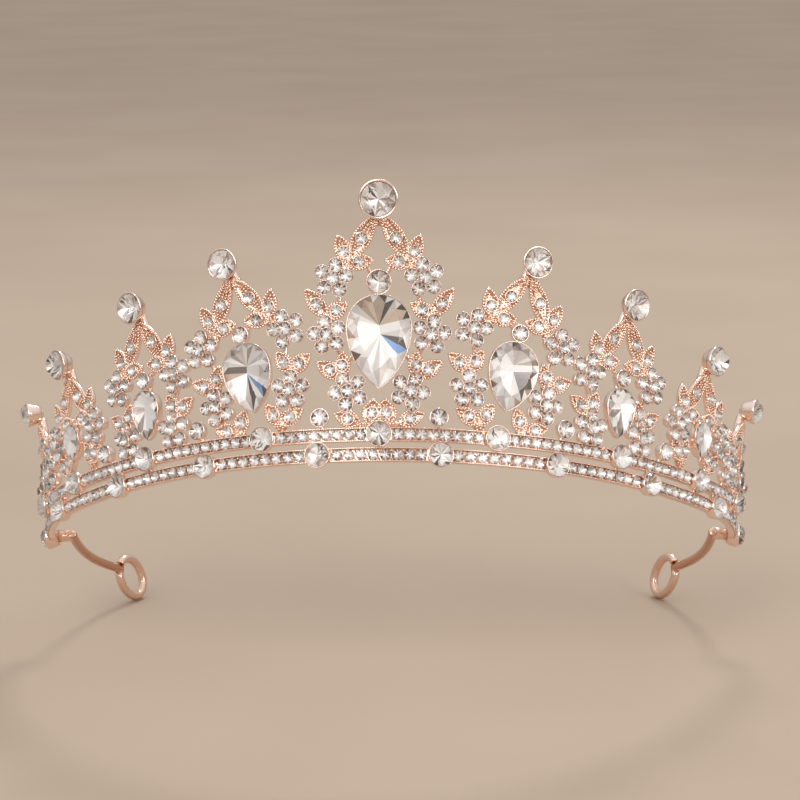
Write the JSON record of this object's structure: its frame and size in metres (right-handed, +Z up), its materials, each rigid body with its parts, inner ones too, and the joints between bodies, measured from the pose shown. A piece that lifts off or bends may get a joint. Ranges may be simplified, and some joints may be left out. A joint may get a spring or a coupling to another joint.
{
  "type": "bridal tiara",
  "caption": "C-shaped openwork tiara: crystal-set leaf, flower and pear-drop peaks stand on two pave rails, with a wire arm and closed eye at each end.",
  "frame": {"origin": "middle of the head opening in the plane of the lower rail, 66 mm behind the middle of the rail's back edge", "axes": "+X to the right of the front view (the wearer's left), -Y out of the front, +Z up; as worn, the plane of the rails is raised 28.7 degrees at the front"},
  "size_m": [0.163, 0.0963, 0.1084],
  "materials": {
    "rose_gold_casting": "polished rose gold plate",
    "rose_gold_wire": "polished rose gold plate",
    "large_crystal": "clear, faceted, foil backed",
    "small_crystal": "clear, faceted, foil backed"
  },
  "bodies": {
    "root": {"centre_leaf_stones": "small_crystal", "centre_peak": "rose_gold_casting", "centre_pear_crystal": "large_crystal", "centre_petal_stones": "small_crystal", "drop_crystals": "large_crystal", "end_leaf_stones_left": "small_crystal", "end_leaf_stones_right": "small_crystal", "end_peak_left": "rose_gold_casting", "end_peak_right": "rose_gold_casting", "end_peg_left": "rose_gold_wire", "end_peg_right": "rose_gold_wire", "end_petal_stones_left": "small_crystal", "end_petal_stones_right": "small_crystal", "end_wire_left": "rose_gold_wire", "end_wire_right": "rose_gold_wire", "flower_heart_stones": "small_crystal", "inner_leaf_stones_left": "small_crystal", "inner_leaf_stones_right": "small_crystal", "inner_peak_left": "rose_gold_casting", "inner_peak_right": "rose_gold_casting", "inner_pear_crystal_left": "large_crystal", "inner_pear_crystal_right": "large_crystal", "inner_petal_stones_left": "small_crystal", "inner_petal_stones_right": "small_crystal", "lower_rail": "rose_gold_casting", "lower_rail_chatons": "small_crystal", "lower_rail_crystals": "large_crystal", "middle_leaf_stones_left": "small_crystal", "middle_leaf_stones_right": "small_crystal", "middle_peak_left": "rose_gold_casting", "middle_peak_right": "rose_gold_casting", "middle_pear_crystal_left": "large_crystal", "middle_pear_crystal_right": "large_crystal", "middle_petal_stones_left": "small_crystal", "middle_petal_stones_right": "small_crystal", "outer_leaf_stones_left": "small_crystal", "outer_leaf_stones_right": "small_crystal", "outer_peak_left": "rose_gold_casting", "outer_peak_right": "rose_gold_casting", "outer_pear_crystal_left": "large_crystal", "outer_pear_crystal_right": "large_crystal", "outer_petal_stones_left": "small_crystal", "outer_petal_stones_right": "small_crystal", "rail_posts": "rose_gold_casting", "top_crystals": "large_crystal", "upper_rail": "rose_gold_casting", "upper_rail_chatons": "small_crystal", "upper_rail_crystals": "large_crystal", "valley_crystals": "large_crystal", "valley_cups": "rose_gold_casting"}
  },
  "joints": []
}
